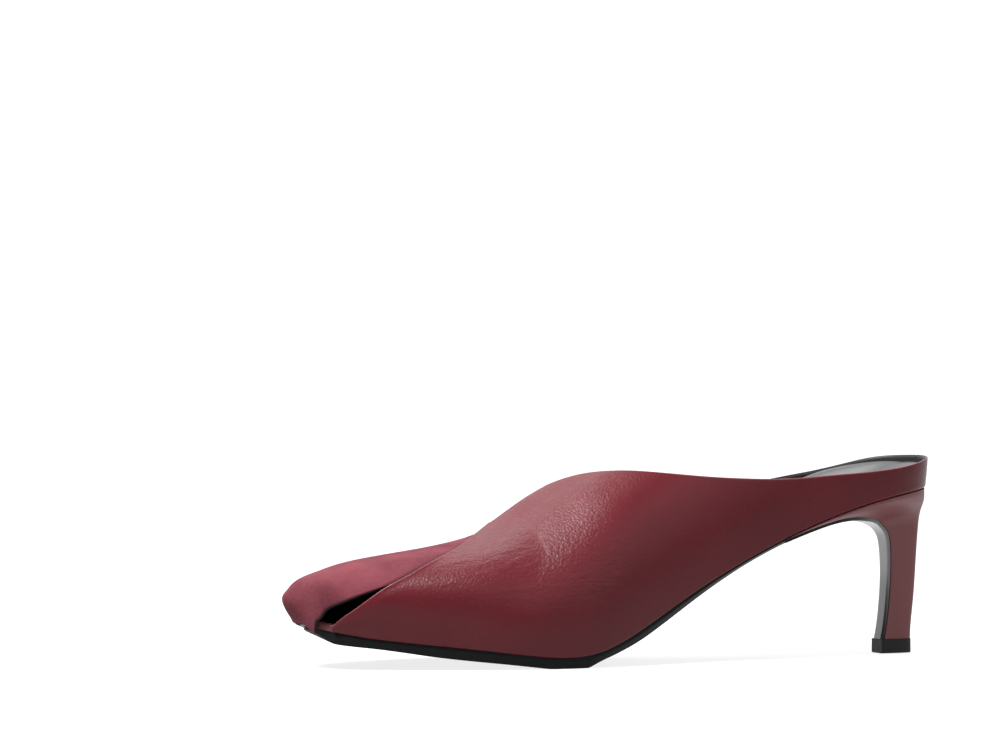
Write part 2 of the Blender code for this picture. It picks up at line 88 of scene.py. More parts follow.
# Height of the upper's bottom edge, as a share of the seat height.
SOLE_LINE = [
    # station, height
    (0.000, 1.000),
    (0.060, 0.967),
    (0.120, 0.922),
    (0.180, 0.855),
    (0.240, 0.767),
    (0.300, 0.662),
    (0.360, 0.543),
    (0.420, 0.415),
    (0.480, 0.277),
    (0.530, 0.167),
    (0.575, 0.092),
    (0.615, 0.062),
    (0.660, 0.065),
    (0.720, 0.092),
    (0.800, 0.130),
    (0.880, 0.167),
    (0.940, 0.212),
    (0.974, 0.255),
]

# Free edge of the leather side: angle over the last, in degrees from the outer edge of the sole.
LEATHER_EDGE = [
    # station, angle
    (0.0166, 11.2),
    (0.057, 10.1),
    (0.085, 9.8),
    (0.111, 10.1),
    (0.152, 11.7),
    (0.196, 14.5),
    (0.275, 20.7),
    (0.347, 29.3),
    (0.415, 40.0),
    (0.465, 50.5),
    (0.500, 59.5),
    (0.540, 72.0),
    (0.575, 84.5),
    (0.605, 92.5),
    (0.640, 94.5),
    (0.680, 90.0),
    (0.720, 80.0),
    (0.760, 68.5),
    (0.806, 57.5),
    (0.850, 45.0),
    (0.880, 36.0),
    (0.905, 26.0),
    (0.925, 16.5),
    (0.938, 8.0),
    (0.943, 3.5),
]

# The same edge on the inner side of the heel, up to the seam.
INNER_RIM = [
    # station, angle
    (0.0166, 11.2),
    (0.050, 11.3),
    (0.090, 10.2),
    (0.138, 10.0),
    (0.170, 11.0),
]
LEATHER_FRONT = 0.943

# Free edge of the suede side. Forward of its front end it wraps the whole toe.
SUEDE_EDGE = [
    # station, angle
    (0.170, 169.0),
    (0.200, 167.8),
    (0.250, 164.9),
    (0.300, 160.4),
    (0.400, 150.0),
    (0.450, 143.1),
    (0.500, 135.8),
    (0.540, 128.8),
    (0.580, 121.1),
    (0.615, 111.5),
    (0.635, 102.5),
    (0.655, 91.5),
    (0.680, 78.0),
    (0.710, 66.5),
    (0.750, 55.5),
    (0.800, 47.5),
    (0.850, 46.0),
    (0.890, 39.5),
    (0.925, 31.5),
    (0.940, 26.5),
    (0.950, 20.5),
    (0.957, 14.0),
    (0.961, 6.5),
    (0.962, 0.0),
]
SUEDE_FRONT = 0.962
SEAM = 0.170

# Degrees over which the leather rises to its lap, and the suede's droop at the nose in walls.
LAP_SPREAD = 42
NOSE_DROOP = 1.35

# Station of the heel's lip, and the width at which the sole and the insole end at the toe.
LIP_STATION = 0.276
BLUNT_WIDTH = 4 * MM

# Insole in the seat of the heel: its thickness in the middle and at the rim, and the dish's reach.
SEAT_CENTRE = 5.0 * MM
SEAT_RIM = 8.8 * MM
SEAT_DISH = 15 * MM
INSOLE_RINGS = 170

# The sole where it runs down the breast of the heel, and the air left between touching skins.
FLAP_THICK = 0.9 * MM
FLAP_INSET = 0.5 * MM
TOUCH = 0.02 * MM

# Reach of the rounded free edge of a hide and of its lining.
HIDE_NOSE = 0.45 * MM
LINING_NOSE = 0.3 * MM

# Creases pressed into the leather where the foot bends, as runs over the last.
CREASES = [
    # from_station, from_angle, to_station, to_angle, sag, depth, width
    (0.785, 52.0, 0.710, 57.0, -2.0, 0.050, 1.1),
    (0.775, 47.0, 0.700, 51.5, -1.5, 0.060, 1.2),
    (0.765, 42.0, 0.690, 46.0, -1.5, 0.045, 1.0),
    (0.755, 37.0, 0.680, 40.0, -2.5, 0.045, 1.1),
    (0.742, 61.5, 0.678, 64.0, -1.5, 0.045, 1.2),
    (0.728, 54.0, 0.655, 58.0, -2.0, 0.055, 1.3),
    (0.722, 48.0, 0.660, 50.0, -2.0, 0.045, 1.0),
    (0.716, 33.0, 0.660, 33.5, -3.0, 0.035, 1.1),
    (0.695, 43.0, 0.640, 43.5, 1.0, 0.040, 1.0),
    (0.690, 69.0, 0.635, 70.0, 1.5, 0.040, 1.2),
    (0.672, 61.5, 0.616, 62.0, 2.0, 0.045, 1.3),
    (0.812, 41.5, 0.778, 44.0, -1.0, 0.045, 0.9),
    (0.826, 46.5, 0.795, 47.5, -1.0, 0.040, 0.9),
    (0.818, 36.0, 0.780, 37.0, -1.0, 0.035, 0.9),
    (0.800, 31.0, 0.748, 30.0, -1.5, 0.030, 1.0),
]

# Lift of the leather's edge along the lap, and of the sock on the inner side of the seat.
EDGE_FLARE = 0.25 * MM
INNER_SEAT_RISE = 0.9 * MM

# Soft hollows and swells of the hides: where each lies, how far it reaches and its height.
LEATHER_SWELLS = [
    # station, angle, reach_along, reach_round, height
    (0.655, 30.0, 16.0, 9.0, 0.12),
    (0.735, 27.0, 14.0, 7.0, -0.10),
    (0.480, 30.0, 22.0, 10.0, -0.20),
    (0.340, 15.0, 18.0, 6.0, 0.16),
    (0.870, 17.0, 11.0, 5.0, -0.14),
]
SUEDE_SWELLS = [
    # station, angle, reach_along, reach_round, height
    (0.900, 62.0, 8.0, 6.0, -0.16),
    (0.845, 75.0, 9.0, 8.0, 0.14),
    (0.770, 100.0, 13.0, 10.0, -0.18),
    (0.680, 135.0, 15.0, 11.0, 0.20),
    (0.720, 155.0, 14.0, 7.0, -0.22),
    (0.560, 150.0, 15.0, 9.0, -0.24),
    (0.430, 166.0, 16.0, 6.0, 0.16),
]

# Thickness of the outsole, as a share of the wall, and how far its edge slopes in below.
SOLE_SECTION = [
    # station, thickness, bevel
    (0.270, 0.88, 1.00),
    (0.340, 0.90, 1.00),
    (0.420, 1.40, 0.95),
    (0.480, 1.68, 0.85),
    (0.527, 1.62, 0.72),
    (0.560, 1.42, 0.58),
    (0.585, 1.62, 0.45),
    (0.604, 2.20, 0.38),
    (0.635, 2.15, 0.34),
    (0.700, 1.85, 0.30),
    (0.790, 1.95, 0.30),
    (0.830, 1.80, 0.30),
    (0.865, 1.60, 0.30),
    (0.900, 1.62, 0.30),
    (0.930, 1.90, 0.30),
    (0.942, 1.88, 0.30),
    (0.952, 1.45, 0.28),
    (0.960, 1.00, 0.24),
    (0.974, 0.45, 0.20),
]
INNER_THINNING = 0.75

# Small steps inward in the sole's edge, the sole's rings in front of the heel and down its breast,
# and the corners of a ring that lie on the floor.
EDGE_STEP = 0.02 * MM
SOLE_RINGS = 170
BREAST_RINGS = 90
UNDERSIDE = slice(9, 17)

# The heel in levels from the floor up. Heights are shares of the seat height, the half width is a
# share of the ball width, and fullness blends a plain D shape into the outline of the seat.
HEEL = [
    # level, back_station, back_height, front_station, front_height, half_width, fullness
    (0.00, 0.0295, 0.085, 0.0770, 0.085, 0.047, 0.00),
    (0.12, 0.0285, 0.170, 0.0730, 0.170, 0.047, 0.00),
    (0.27, 0.0242, 0.333, 0.0685, 0.333, 0.048, 0.00),
    (0.42, 0.0212, 0.500, 0.0665, 0.500, 0.051, 0.00),
    (0.55, 0.0190, 0.640, 0.0680, 0.640, 0.056, 0.00),
    (0.66, 0.0172, 0.735, 0.0740, 0.725, 0.062, 0.00),
    (0.75, 0.0154, 0.810, 0.0890, 0.780, 0.078, 0.05),
    (0.84, 0.0144, 0.870, 0.1210, 0.810, 0.150, 0.25),
    (0.92, 0.0157, 0.915, 0.1850, 0.802, 0.255, 0.60),
    (1.00, 0.0172, 0.960, 0.2760, 0.700, 0.330, 1.00),
]
HEEL_CORNER = 2.5

# Levels of the heel's mesh, and corners on each side of a ring of the heel and of its tip.
HEEL_LEVELS = 70
HEEL_SIDE = 40
TIP_SIDE = 30

# Middle of the shoe's footprint on the axes of the last.
FOOTPRINT_CENTRE = np.array([0.387, -0.305, 0.0]) * MM


def spline(knots, values, at, end_slopes=None):
    """Cubic spline through the values, natural at its ends or with the given slopes there."""
    knots, values = np.asarray(knots, float), np.asarray(values, float)
    at = np.clip(np.asarray(at, float), knots[0], knots[-1])
    step = np.diff(knots)
    slope = np.diff(values) / step
    count = len(knots)
    system, right = np.zeros((count, count)), np.zeros(count)
    for i in range(1, count - 1):
        system[i, i - 1 : i + 2] = step[i - 1], 2 * (step[i - 1] + step[i]), step[i]
        right[i] = 6 * (slope[i] - slope[i - 1])
    if end_slopes is None:
        system[0, 0] = system[-1, -1] = 1
    else:
        system[0, :2] = 2 * step[0], step[0]
        right[0] = 6 * (slope[0] - end_slopes[0])
        system[-1, -2:] = step[-1], 2 * step[-1]
        right[-1] = 6 * (end_slopes[1] - slope[-1])
    bend = np.linalg.solve(system, right)
    i = np.clip(np.searchsorted(knots, at, side="right") - 1, 0, count - 2)
    a, b = knots[i + 1] - at, at - knots[i]
    return (
        bend[i] * a**3 / (6 * step[i])
        + bend[i + 1] * b**3 / (6 * step[i])
        + (values[i] / step[i] - bend[i] * step[i] / 6) * a
        + (values[i + 1] / step[i] - bend[i + 1] * step[i] / 6) * b
    )


def column(table, index):
    return np.array([row[index] for row in table])


def smooth(value, low, high):
    """0 below low, 1 above high, smooth between."""
    share = np.clip((np.asarray(value, float) - low) / (high - low), 0, 1)
    return share * share * (3 - 2 * share)


def unit(vectors):
    return vectors / np.maximum(np.linalg.norm(vectors, axis=-1, keepdims=True), 1e-12)


class Last:
    """The form that the upper is drawn over, at the sizes of the scene."""

    def __init__(self, sizes):
        self.length = sizes.length
        self.ball = sizes.ball_width
        self.seat = sizes.seat_height
        self.instep = sizes.instep_height
        self.wall = sizes.wall
        self.gap = sizes.gap
        run = column(LAST, 0) * self.length
        width = (column(LAST, 1) + column(LAST, 2)) / 2 * self.ball
        walked = np.concatenate([[0], np.cumsum(np.hypot(np.diff(run), np.diff(width)))])
        self.knots = walked / walked[-1]

    def station_at(self, walk):
        return spline(self.knots, column(LAST, 0), walk, (0, 0))

    def walk_at(self, station):
        fine = np.linspace(0, 1, 4001)
        return np.interp(station, self.station_at(fine), fine)

    def value(self, index, walk):
        return spline(self.knots, column(LAST, index), walk)

    def half_width(self, side, walk):
        return self.value(1 if side > 0 else 2, walk) * self.ball

    def sole_line(self, station):
        return spline(column(SOLE_LINE, 0), column(SOLE_LINE, 1), station) * self.seat

    def along(self, station):
        return self.length / 2 - np.asarray(station) * self.length

    def station_of(self, y):
        return (self.length / 2 - y) / self.length

    def edge(self, walk, side, inset):
        """Point of the sole's outline on one side, moved in by inset in plan."""

        def plan(w):
            return np.stack([side * self.half_width(side, w), self.along(self.station_at(w))], -1)

        walk = np.asarray(walk, float)
        small = 1e-4
        tangent = unit(plan(np.clip(walk + small, 0, 1)) - plan(np.clip(walk - small, 0, 1)))
        inward = np.stack([tangent[..., 1], -tangent[..., 0]], -1) * side
        point = plan(walk) + inward * np.asarray(inset)[..., None]
        height = self.sole_line(self.station_of(point[..., 1]))
        return np.concatenate([point, height[..., None]], -1)

    def ridge(self, walk, inset):
        def side_view(w):
            s = self.station_at(w)
            y = self.along(s) - self.value(5, w) * self.length
            return np.stack([y, self.sole_line(s) + self.value(4, w) * self.instep], -1)

        walk = np.asarray(walk, float)
        small = 1e-4
        tangent = unit(side_view(np.clip(walk + small, 0, 1)) - side_view(np.clip(walk - small, 0, 1)))
        inward = np.stack([-tangent[..., 1], tangent[..., 0]], -1)
        point = side_view(walk) + inward * np.asarray(inset)[..., None]
        across = self.value(3, walk) * self.ball
        return np.concatenate([across[..., None], point], -1)

    def surface(self, walk, theta, inset=0.0):
        """Point of the last. Theta runs from 0 at the outer edge over the ridge to pi at the inner."""
        walk, theta = np.broadcast_arrays(np.asarray(walk, float), np.asarray(theta, float))
        inset = np.broadcast_to(np.asarray(inset, float), walk.shape)
        outer_side = (theta <= math.pi / 2)[..., None]
        edge = np.where(outer_side, self.edge(walk, 1, inset), self.edge(walk, -1, inset))
        ridge = self.ridge(walk, inset)
        station = self.station_at(walk)
        ahead = station - HEEL_CENTRE
        held = HEEL_CENTRE + (ahead + np.sqrt(ahead**2 + HEEL_BLEND**2)) / 2
        held = held + (station - held) * np.clip((station - 0.3) / 0.2, 0, 1)
        across = self.value(3, walk) * self.ball
        foot = np.where(station > 0.5, edge[..., 1], self.along(held))
        centre = np.stack([across, foot, self.sole_line(station)], -1)
        reach = foot + ridge[..., 1] - self.along(station)
        ridge = np.stack([ridge[..., 0], reach, ridge[..., 2]], -1)
        round_ = self.value(6, walk)
        cosine, sine = np.abs(np.cos(theta)), np.sin(theta)
        out = cosine**round_ + BELLY * cosine * sine
        up = np.clip(sine, 0, 1) ** round_
        return centre + (edge - centre) * out[..., None] + (ridge - centre) * up[..., None]

    def blunt_end(self, inset_at):
        """Walk at which an inset outline has narrowed to its blunt end at the toe."""
        walk = np.linspace(0.9, 1, 1001)
        width = (self.edge(walk, 1, inset_at(walk)) - self.edge(walk, -1, inset_at(walk)))[:, 0]
        return walk[np.nonzero(width > BLUNT_WIDTH)[0][-1]]


def leather_angle(station, side):
    """Angle of the leather's free edge, measured from the edge of the sole on its own side."""
    outer = spline(column(LEATHER_EDGE, 0), column(LEATHER_EDGE, 1), station)
    inner = spline(column(INNER_RIM, 0), column(INNER_RIM, 1), station)
    return np.radians(np.where(side > 0, outer, inner))


def suede_angle(station):
    angle = spline(column(SUEDE_EDGE, 0), column(SUEDE_EDGE, 1), station)
    return np.radians(np.clip(angle, 0, 180)) * (station < SUEDE_FRONT)


def lap(last, station, theta):
    """How far the leather stands off the last where it lies over the suede."""
    along_share = smooth(station, 0.52, 0.635) * (1 - 0.75 * smooth(station, 0.865, 0.94))
    under = np.where(station > 0.65, np.degrees(suede_angle(np.minimum(station, 0.85))), 92.0)
    edge = np.degrees(leather_angle(station, 1))
    full = np.minimum(under, edge) - 4
    begin = np.maximum(full - LAP_SPREAD, 0)
    risen = smooth(np.degrees(theta), begin, np.maximum(full, begin + 1))
    return (last.wall + last.gap) * along_share * risen


def droop(last, station, theta):
    """How far the suede hangs below the last's edge on the outer side of the nose."""
    along_share = smooth(station, 0.949, 0.960) * (1 - smooth(station, 0.961, 0.973))
    return NOSE_DROOP * last.wall * along_share * (1 - smooth(np.degrees(theta), 0, 35))


def swells(last, table, station, theta):
    """Height of the hide's soft hollows and swells."""
    degrees = np.degrees(theta)
    height = np.zeros(np.broadcast(station, theta).shape)
    for at, angle, run, round_, rise in table:
        far = ((station - at) * last.length / (run * MM)) ** 2 + ((degrees - angle) / round_) ** 2
        height = height + rise * MM * np.exp(-far)
    return height


def leather_relief(last, station, theta):
    """Creases across the bend of the foot, and the hide's soft swells."""
    degrees = np.degrees(theta)
    height = swells(last, LEATHER_SWELLS, station, theta)
    arc = 0.5 * last.ball * math.pi / 180
    for from_station, from_angle, to_station, to_angle, sag, depth, width in CREASES:
        run = (from_station - station) / (from_station - to_station)
        held = np.clip(run, 0, 1)
        line = from_angle + (to_angle - from_angle) * held + sag * np.sin(math.pi * held)
        past = (run - held) * (from_station - to_station) * last.length
        off = (degrees - line) * arc
        far = np.hypot(off, past * 0.6) / (width * MM)
        taper = np.sin(math.pi * np.clip(run * 0.9 + 0.05, 0, 1)) ** 0.7
        shoulder = 0.45 * np.exp(-((np.hypot(off - 1.7 * width * MM, past) / (1.3 * width * MM)) ** 2))
        height = height - depth * MM * taper * (np.exp(-(far**2)) - shoulder)
    below_edge = (np.degrees(leather_angle(station, 1)) - degrees) * arc
    lapped = smooth(station, 0.60, 0.66) * (1 - smooth(station, 0.86, 0.92))
    return height + EDGE_FLARE * lapped * (1 - smooth(below_edge, 0, 2.5 * MM))


def suede_relief(last, station, theta):
    return swells(last, SUEDE_SWELLS, station, theta)


def skin(name, rings, masks=None, sharp=38.0):
    """Mesh object through closed rings of equal count, equal corners welded, its ends filled."""
    count, size = rings.shape[:2]
    points = rings.reshape(-1, 3)
    _, first, index = np.unique(np.round(points * 1e6), axis=0, return_index=True, return_inverse=True)
    index = index.reshape(count, size)
    here, there = index[:-1], index[1:]
    quads = np.stack([here, np.roll(here, -1, 1), np.roll(there, -1, 1), there], -1).reshape(-1, 4)
    faces = []
    for quad in quads.tolist() + [index[0][::-1].tolist(), index[-1].tolist()]:
        ring = [c for k, c in enumerate(quad) if c != quad[k - 1]]
        if len(ring) > 2 and len(set(ring)) == len(ring):
            faces.append(ring)
    mesh = bpy.data.meshes.new(name)
    mesh.from_pydata((points[first] - FOOTPRINT_CENTRE).tolist(), [], faces)
    for key, values in (masks or {}).items():
        layer = mesh.attributes.new(key, "FLOAT", "POINT")
        layer.data.foreach_set("value", np.asarray(values, np.float32).reshape(-1)[first])
    return finish_mesh(name, mesh, sharp)


def finish_mesh(name, mesh, sharp):
    shape = bmesh.new()
    shape.from_mesh(mesh)
    caps = [face for face in shape.faces if len(face.verts) > 4]
    if caps:
        bmesh.ops.triangulate(shape, faces=caps)
    bmesh.ops.recalc_face_normals(shape, faces=shape.faces[:])
    for face in shape.faces:
        face.smooth = True
    shape.to_mesh(mesh)
    shape.free()
    mesh.set_sharp_from_angle(angle=math.radians(sharp))
    obj = bpy.data.objects.new(name, mesh)
    bpy.context.scene.collection.objects.link(obj)
    return obj


def hand_over(obj, material, slot, *nodes):
    """Gives a piece its finish, hangs it under the root body and hides the solids of the part that it stands
    for.
    """
    obj.data.materials.clear()
    obj.data.materials.append(material)
    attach(obj, "root")
    if nodes:
        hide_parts(*nodes)


# Rows of a hide's mesh: its tucked bottom, below its free edge, round the edge and down its inside.
TUCK_ROWS = 8
EDGE_ROWS = 6
FOLD_ROWS = 9
INNER_ROWS = 18

# Rows and rings of each hide, and rows, rings and set-back from the free edge of each lining.
LEATHER_GRID = (104, 330)
SUEDE_GRID = (64, 260)
LEATHER_LINING = (30, 200, 0.25 * MM)
SUEDE_LINING = (30, 180, 0.3 * MM)


def hide_rings(last, walk, base, edge, top, depth, thick, tuck, nose, rows, set_back=0.0, hang=None):
    """Rings of a hide: up its outside from the sole, round its free edge and down its inside.

    base and edge are the angles of its bottom and of its free edge at each walk. top(walk, theta)
    is how far its own ground stands off the last, and depth how deep its outside lies in the wall.
    tuck is the radius of its bottom edge, nose the reach of its rounded free edge, and
    hang(walk, theta) how far it sinks. With the rings come each corner's distance to the free edge
    in millimetres, and its angle.
    """
    walk = walk[:, None]
    base, edge = base[:, None], edge[:, None]
    fine = base + (edge - base) * np.linspace(0, 1, 25)
    path = last.surface(walk, fine)
    height = np.linalg.norm(np.diff(path, axis=1), axis=-1).sum(1)[:, None]
    reach = (nose + set_back) / np.maximum(height, 1e-6)
    low = np.minimum(1.6 * tuck, 0.3 * height) / height * np.linspace(0, 1, TUCK_ROWS)
    high_from = 1 - np.clip(reach, 0, 0.45) - np.minimum(3.0 * MM, 0.25 * height) / height
    high = high_from + (1 - np.clip(reach, 0, 0.45) - high_from) * np.linspace(0, 1, EDGE_ROWS)
    between = np.linspace(0, 1, rows - TUCK_ROWS - EDGE_ROWS + 2)[1:-1]
    middle = low[:, -1:] + (high_from - low[:, -1:]) * between
    share = np.concatenate([low, middle, high], 1)
    theta = base + (edge - base) * share
    ground = top(walk, theta)
    plain = last.surface(walk, theta, depth - ground)
    rise = np.linalg.norm(plain - plain[:, :1], axis=-1)
    turn = np.clip(1 - rise / tuck, 0, 1)
    outside = last.surface(walk, theta, depth - ground + tuck * (1 - np.sqrt(1 - turn**2)))
    inner_share = share[:, -1:] * (1 - np.linspace(0, 1, INNER_ROWS))
    inner_theta = base + (edge - base) * inner_share
    inner_ground = top(walk, inner_theta)
    inside = last.surface(walk, inner_theta, depth + thick - inner_ground)
    if hang:
        outside[..., 2] -= hang(walk, theta)
        inside[..., 2] -= hang(walk, inner_theta)
    middle_line = (outside[:, -1:] + inside[:, :1]) / 2
    forward = unit(outside[:, -1:] - outside[:, -2:-1])
    angle = np.linspace(0, math.pi, FOLD_ROWS + 2)[1:-1][None, :, None]
    over = np.minimum(nose, 0.45 * height)[..., None]
    fold = middle_line + (outside[:, -1:] - middle_line) * np.cos(angle) + forward * over * np.sin(angle)
    rings = np.concatenate([outside, fold, inside], 1)
    to_edge = np.concatenate(
        [(1 - share) * height, np.zeros(fold.shape[:2]), (1 - inner_share) * height], 1
    )
    turned = np.concatenate([theta, np.broadcast_to(edge, fold.shape[:2]), inner_theta], 1)
    return rings, to_edge / MM, turned


def bend_mask(last, rings):
    """1 over the bend of the foot, where the leather is creased and rubbed, 0 elsewhere."""
    station = last.station_of(rings[..., 1])
    above = (rings[..., 2] - last.sole_line(station)) / last.instep
    along_share = smooth(station, 0.48, 0.60) * (1 - smooth(station, 0.76, 0.88))
    return along_share * smooth(above, 0.12, 0.42)


def lined_mask(rings):
    """1 on the inner half of the free edge and inside it, where the black lining is turned up, 0 outside."""
    column = np.arange(rings.shape[1])
    lined = column >= rings.shape[1] - INNER_ROWS - FOLD_ROWS // 2 - 1
    return np.broadcast_to(lined, rings.shape[:2]).astype(float)


def lap_shadow_mask(last, rings, theta):
    """Painted shadow of the leather's lap on the suede: 1 under the lap, fading out a few millimetres beyond
    it.
    """
    station = last.station_of(rings[..., 1])
    off = np.degrees(theta - leather_angle(station, 1)) * 0.5 * last.ball * math.pi / 180
    along_share = smooth(station, 0.60, 0.64) * (1 - smooth(station, 0.87, 0.90))
    return along_share * (1 - smooth(off, 2.8 * MM, 5.8 * MM))


def leather_walk(last, count):
    """Walks of the leather side, from its front round the heel to the seam, and the side of each."""
    front, seam = last.walk_at(LEATHER_FRONT), last.walk_at(SEAM)
    outer = front * (1 - np.linspace(0, 1, count) ** 1.25)
    inner = seam * np.linspace(0, 1, count // 4)[1:]
    return np.concatenate([outer, inner]), np.concatenate([np.ones(len(outer)), -np.ones(len(inner))])


def leather_rings(last, depth, thick, nose, rows, count, set_back=0.0, relief=None):
    walk, side = leather_walk(last, count)
    station = last.station_at(walk)
    reach = leather_angle(station, side)
    base = np.where(side > 0, 0.0, math.pi)
    edge = np.where(side > 0, reach, math.pi - reach)

    def ground(walk, theta):
        station = last.station_at(walk)
        lifted = lap(last, station, theta) * (theta <= math.pi / 2 + 0.2) * (side > 0)[:, None]
        return lifted + (relief(last, station, theta) if relief else 0.0)

    return hide_rings(last, walk, base, edge, ground, depth, thick, last.wall * 0.5, nose, rows, set_back)


def suede_rings(last, depth, thick, nose, rows, count, set_back=0.0, relief=None):
    back = last.walk_at(SEAM + last.gap / last.length)
    turn = last.walk_at(SUEDE_FRONT)
    run = back + (turn - back) * np.sin(np.linspace(0, 1, count) * math.pi / 2)
    front = turn + (1 - turn) * np.linspace(0, 1, count // 6)[1:]
    walk = np.concatenate([run, front])
    station = last.station_at(walk)
    first = np.where(walk >= turn - 1e-9, 0.0, suede_angle(np.minimum(station, SUEDE_FRONT - 1e-6)))

    def ground(walk, theta):
        return relief(last, last.station_at(walk), theta) if relief else np.zeros(theta.shape)

    def hang(walk, theta):
        return droop(last, last.station_at(walk), theta)

    base, tuck = np.full(len(walk), math.pi), last.wall * 0.5
    return hide_rings(last, walk, base, first, ground, depth, thick, tuck, nose, rows, set_back, hang)


class Field:
    """A shader socket, so that shader maths reads as Python."""

    def __init__(self, finish, socket):
        self.finish, self.socket = finish, socket

    def maths(self, operation, *others):
        return self.finish.node("ShaderNodeMath", {"operation": operation}, dict(enumerate((self, *others))))

    def __add__(self, other):
        return self.maths("ADD", other)

    __radd__ = __add__

    def __mul__(self, other):
        return self.maths("MULTIPLY", other)

    __rmul__ = __mul__

    def __sub__(self, other):
        return self.maths("SUBTRACT", other)

    def __rsub__(self, other):
        return self.finish.node("ShaderNodeMath", {"operation": "SUBTRACT"}, {0: other, 1: self})

    def ramp(self, low, high):
        """0 at low, 1 at high, smooth between. Low may be above high."""
        values = {"Value": self, "From Min": low, "From Max": high, "To Min": 0.0, "To Max": 1.0}
        return self.finish.node("ShaderNodeMapRange", {"interpolation_type": "SMOOTHSTEP"}, values)


class Finish:
    """One material and the nodes that paint it."""

    def __init__(self, name):
        self.material = bpy.data.materials.new(name)
        self.material.use_nodes = True
        self.tree = self.material.node_tree
        self.surface = self.tree.nodes["Principled BSDF"]

    def node(self, kind, settings=None, values=None, output=0):
        """Adds a node, its settings first and then the values or links of its sockets."""
        made = self.tree.nodes.new(kind)
        for key, value in (settings or {}).items():
            setattr(made, key, value)
        for key, value in (values or {}).items():
            self.put(made.inputs[key], value)
        return Field(self, made.outputs[output])

    def put(self, socket, value):
        if isinstance(value, Field):
            self.tree.links.new(value.socket, socket)
        else:
            socket.default_value = value

    def place(self):
        return self.node("ShaderNodeTexCoord", output="Object")

    def mask(self, name):
        return self.node("ShaderNodeAttribute", {"attribute_name": name}, output="Fac")

    def noise(self, scale, detail=2.0, rough=0.5, at=None, stretch=0.0):
        values = {"Scale": scale, "Detail": detail, "Roughness": rough, "Distortion": stretch}
        return self.node("ShaderNodeTexNoise", None, {**values, "Vector": at or self.place()})

    def cells(self, scale):
        values = {"Scale": scale, "Randomness": 1.0, "Vector": self.place()}
        return self.node("ShaderNodeTexVoronoi", {"feature": "SMOOTH_F1"}, values)

    def mix(self, share, first, second):
        """Colour between two others."""
        made = self.tree.nodes.new("ShaderNodeMix")
        made.data_type = "RGBA"
        for index, value in ((0, share), (6, first), (7, second)):
            self.put(made.inputs[index], value)
        return Field(self, made.outputs[2])

    def move(self, first, operation, second):
        """Vector maths."""
        return self.node("ShaderNodeVectorMath", {"operation": operation}, {0: first, 1: second})

    def bump(self, height, distance, strength):
        values = {"Height": height, "Distance": distance, "Strength": strength}
        return self.node("ShaderNodeBump", None, values)

    def coat(self, **values):
        """Sets the shader's own sockets, underscores for spaces."""
        for key, value in values.items():
            self.put(self.surface.inputs[key.replace("_", " ")], value)
        return self.material


def rgba(colour, share=1.0):
    return (*[c * share for c in colour[:3]], 1.0)


def smooth_leather(colours):
    """Semi-gloss calf: fine grain that shows in the shine, faint cloudiness and a painted highlight along the
    turned edge.
    """
    f = Finish("smooth_leather")
    cloud = f.noise(26.0, 3.0, 0.55)
    grain = f.cells(1250.0)
    pores = f.noise(3000.0, 3.0, 0.6)
    broken = f.noise(700.0, 3.0, 0.6)
    drawn = f.noise(1.0, 3.0, 0.6, at=f.move(f.place(), "MULTIPLY", (420.0, 110.0, 520.0)), stretch=0.7)
    worn = f.mask("worn")
    edge = f.mask("to_edge").ramp(0.9, 0.0)
    colour = f.mix(cloud.ramp(0.3, 0.7) * 0.6, rgba(colours.leather), rgba(colours.leather_shade))
    colour = f.mix(worn * drawn.ramp(0.5, 0.75) * 0.05, colour, rgba(colours.leather_worn))
    # Painted highlight: the leather pales towards its turned free edge.
    colour = f.mix(edge * 0.3, colour, rgba(colours.leather_worn))
    colour = f.mix(f.mask("lined"), colour, rgba(colours.lining, 1.5))
    rough = 0.35 + (broken - 0.5) * 0.1 + worn * 0.04
    height = grain * 0.55 + pores * 0.3 + broken * 0.5 + worn * (drawn * 2.0 + broken * 0.9 + grain * 0.6)
    return f.coat(
        Base_Color=colour,
        Roughness=rough,
        Specular_IOR_Level=0.16,
        Coat_Weight=0.02,
        Coat_Roughness=0.3,
        Normal=f.bump(height, 0.00016, 0.7),
    )


def brushed_suede(colours):
    """Suede with its nap brushed in patches, and a fibrous face."""
    f = Finish("brushed_suede")
    swirl = f.noise(38.0, 4.0, 0.6, stretch=0.6)
    patch = f.noise(120.0, 3.0, 0.6)
    fibre = f.noise(2300.0, 4.0, 0.7)
    tuft = f.noise(700.0, 3.0, 0.65)
    nap = swirl.ramp(0.34, 0.62) * 0.6 + patch.ramp(0.35, 0.65) * 0.25 + tuft * 0.15
    colour = f.mix(nap, rgba(colours.suede_shade), rgba(colours.suede))
    colour = f.mix(fibre.ramp(0.45, 0.75) * 0.22, colour, rgba(colours.suede_tip))
    # Painted shadow: the suede darkens towards a quarter of its shade colour along the leather's lap.
    colour = f.mix(f.mask("painted_lap_shadow") * 0.7, colour, rgba(colours.suede_shade, 0.25))
    edge = f.mask("to_edge").ramp(0.8, 0.0)
    colour = f.mix(edge * 0.15, colour, rgba(colours.suede_tip))
    colour = f.mix(f.mask("lined"), colour, rgba(colours.lining, 1.5))
    return f.coat(
        Base_Color=colour,
        Roughness=0.95,
        Specular_IOR_Level=0.12,
        Sheen_Weight=0.22,
        Sheen_Roughness=0.45,
        Sheen_Tint=rgba(colours.suede_tip),
        Normal=f.bump(fibre * 0.6 + tuft * 0.9, 0.00022, 0.7),
    )


def black_lining(colours):
    f = Finish("black_lining")
    grain = f.cells(1500.0)
    tone = f.noise(60.0, 3.0)
    colour = f.mix(tone.ramp(0.3, 0.7) * 0.5, rgba(colours.lining), rgba(colours.lining, 1.8))
    normal = f.bump(grain, 0.00006, 0.4)
    return f.coat(Base_Color=colour, Roughness=0.72, Specular_IOR_Level=0.2, Normal=normal)


